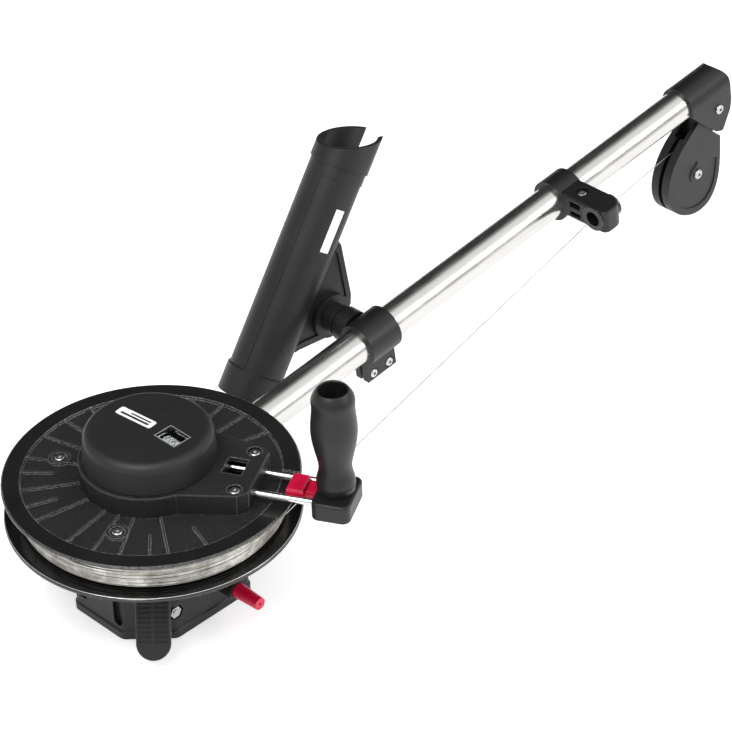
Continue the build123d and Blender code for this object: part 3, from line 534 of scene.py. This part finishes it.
# painted highlight: bright ring on the flange's bead
rim_line()
dome_label()
window_frame()
wheel_figures("units", -0.0169, 0)
wheel_figures("tens", -0.0237, 4)
wheel_figures("hundreds", -0.0305, 0)
holder_label()


# ------------------------------------------------------------------ camera and light
def add_camera():
    """Camera at the catalogue view: behind and above the crank, looking outboard."""
    data = bpy.data.cameras.new("camera")
    data.sensor_width = 36
    data.lens = 147.54
    data.clip_end = 50
    camera = bpy.data.objects.new("camera", data)
    right = Vector((0.703743, -0.71, -0.025418))
    up = Vector((0.426496, 0.393582, 0.814368))
    back = Vector((-0.568197, -0.583946, 0.579793))
    turn = Matrix((right, up, back)).transposed().to_4x4()
    camera.matrix_world = Matrix.Translation((-1.251346, -1.545283, 1.640378)) @ turn
    bpy.context.scene.collection.objects.link(camera)
    bpy.context.scene.camera = camera


def add_area(name, place, target, size, power, colour=(1, 1, 1)):
    data = bpy.data.lights.new(name, "AREA")
    data.shape = "RECTANGLE"
    data.size, data.size_y = size
    data.energy = power
    data.color = colour
    light = bpy.data.objects.new(name, data)
    light.location = place
    light.rotation_euler = (Vector(target) - Vector(place)).to_track_quat("-Z", "Y").to_euler()
    bpy.context.scene.collection.objects.link(light)


def floor_white():
    """Lit table: nearly white, glowing a little so that shadows stay faint."""
    mat = plain("floor_white", (0.88, 0.88, 0.88), (0.9, 0.9, 0.9), 0.7, scale=3)
    bsdf = next(n for n in mat.node_tree.nodes if n.type == "BSDF_PRINCIPLED")
    bsdf.inputs["Emission Color"].default_value = (1, 1, 1, 1)
    bsdf.inputs["Emission Strength"].default_value = 0.45
    return mat


def add_floor():
    mesh = bpy.data.meshes.new("floor")
    bm = bmesh.new()
    bmesh.ops.create_grid(bm, x_segments=1, y_segments=1, size=6)
    bm.to_mesh(mesh)
    bm.free()
    floor = bpy.data.objects.new("floor", mesh)
    floor.location = (0.4, 0, DECK)
    bpy.context.scene.collection.objects.link(floor)
    mesh.materials.append(floor_white())


def direction_step(tree, axis_value, low, high):
    """0 to 1 across a band of one component of the direction."""
    return range_node(tree, axis_value, low, high, 0.0, 1.0)


def add_world():
    """White studio with one dark side behind the boom and a thin dark joint between two soft boxes."""
    world = bpy.data.worlds.new("studio")
    world.use_nodes = True
    bpy.context.scene.world = world
    tree = world.node_tree
    tree.nodes.clear()
    out = tree.nodes.new("ShaderNodeOutputWorld")
    back = tree.nodes.new("ShaderNodeBackground")
    coords = tree.nodes.new("ShaderNodeTexCoord")
    split = tree.nodes.new("ShaderNodeSeparateXYZ")
    tree.links.new(coords.outputs["Generated"], split.inputs["Vector"])
    x, y, z = (split.outputs[name] for name in "XYZ")
    far_side = math_node(tree, "MULTIPLY", direction_step(tree, y, -0.05, 0.40),
                         direction_step(tree, x, -0.2, 0.2))
    joint = math_node(tree, "MULTIPLY", direction_step(tree, z, 0.20, 0.24),
                      direction_step(tree, z, 0.34, 0.30))
    joint = math_node(tree, "MULTIPLY", joint, direction_step(tree, y, -0.5, -0.6))
    dark = math_node(tree, "MAXIMUM", far_side, math_node(tree, "MULTIPLY", joint, 0.8))
    sky = ramp_node(tree, z, [(0.0, (1.0, 1.0, 1.0)), (0.45, (0.95, 0.95, 0.95)), (1.0, (0.8, 0.8, 0.81))])
    tree.links.new(mix_colours(tree, dark, sky, (0.07, 0.07, 0.07)), back.inputs["Color"])
    box = math_node(tree, "MULTIPLY", direction_step(tree, y, 0.15, -0.05),
                    direction_step(tree, z, 0.34, 0.42))
    tree.links.new(range_node(tree, box, 0, 1, 0.72, 1.45), back.inputs["Strength"])
    tree.links.new(back.outputs["Background"], out.inputs["Surface"])


add_camera()
add_floor()
add_world()
add_area("key", (-0.9, -0.2, 1.9), (0.2, 0, 0.1), (1.2, 1.2), 28)
add_area("side", (1.2, -1.6, 1.1), (0.3, 0, 0.1), (1.4, 0.7), 14)
bpy.context.scene.view_settings.view_transform = "Standard"
